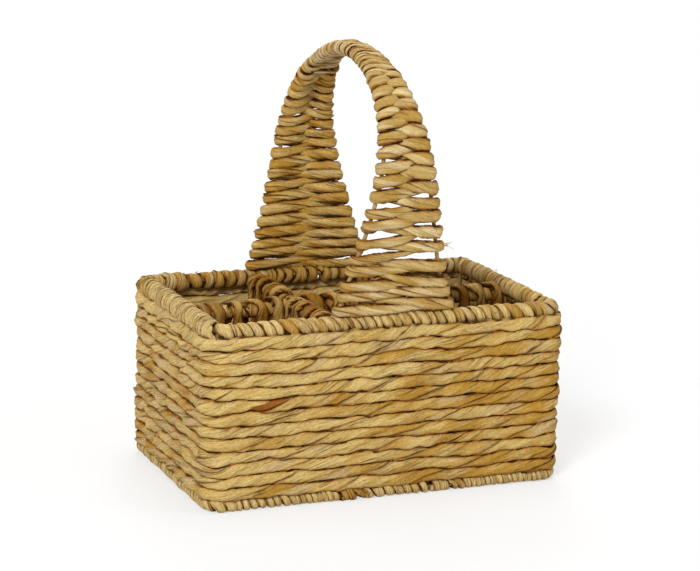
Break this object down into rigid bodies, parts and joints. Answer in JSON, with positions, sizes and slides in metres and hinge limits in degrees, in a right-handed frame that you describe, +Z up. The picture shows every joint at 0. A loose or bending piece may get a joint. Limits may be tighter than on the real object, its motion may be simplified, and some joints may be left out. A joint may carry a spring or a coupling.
{
  "type": "bottle basket",
  "caption": "Rectangular open-topped basket of water hyacinth strands on a wire frame, with dividers for standing bottles and a fixed arched handle across its width.",
  "frame": {"origin": "on the floor, under the middle of the basket", "axes": "+X along the length to the right, +Y from the front to the rear across the width, +Z up"},
  "size_m": [0.3, 0.2224, 0.3436],
  "materials": {
    "hyacinth_strand": "matte",
    "hyacinth_wrap": "matte",
    "frame_wire": "satin"
  },
  "bodies": {
    "root": {"base_hoop": "frame_wire", "base_wrap": "hyacinth_wrap", "corner_upright_front_left": "frame_wire", "corner_upright_front_right": "frame_wire", "corner_upright_rear_left": "frame_wire", "corner_upright_rear_right": "frame_wire", "cross_divider_front_left": "hyacinth_strand", "cross_divider_front_right": "hyacinth_strand", "cross_divider_rear_left": "hyacinth_strand", "cross_divider_rear_right": "hyacinth_strand", "cross_rod_bottom_left": "frame_wire", "cross_rod_bottom_right": "frame_wire", "cross_rod_top_left": "frame_wire", "cross_rod_top_right": "frame_wire", "end_upright_left": "frame_wire", "end_upright_right": "frame_wire", "floor_rod_1": "frame_wire", "floor_rod_2": "frame_wire", "floor_rod_3": "frame_wire", "floor_rod_4": "frame_wire", "floor_strand": "hyacinth_strand", "front_leg_winding": "hyacinth_strand", "grip_winding": "hyacinth_wrap", "handle_rail_left": "frame_wire", "handle_rail_right": "frame_wire", "long_divider_left": "hyacinth_strand", "long_divider_middle": "hyacinth_strand", "long_divider_right": "hyacinth_strand", "long_rod_bottom": "frame_wire", "long_rod_top": "frame_wire", "rear_leg_winding": "hyacinth_strand", "rim_hoop": "frame_wire", "rim_wrap": "hyacinth_wrap", "side_upright_front_left": "frame_wire", "side_upright_front_right": "frame_wire", "side_upright_rear_left": "frame_wire", "side_upright_rear_right": "frame_wire", "wall_course_01": "hyacinth_strand", "wall_course_02": "hyacinth_strand", "wall_course_03": "hyacinth_strand", "wall_course_04": "hyacinth_strand", "wall_course_05": "hyacinth_strand", "wall_course_06": "hyacinth_strand", "wall_course_07": "hyacinth_strand", "wall_course_08": "hyacinth_strand", "wall_course_09": "hyacinth_strand", "wall_course_10": "hyacinth_strand", "wall_course_11": "hyacinth_strand", "wall_course_12": "hyacinth_strand", "wall_course_13": "hyacinth_strand"}
  },
  "joints": []
}
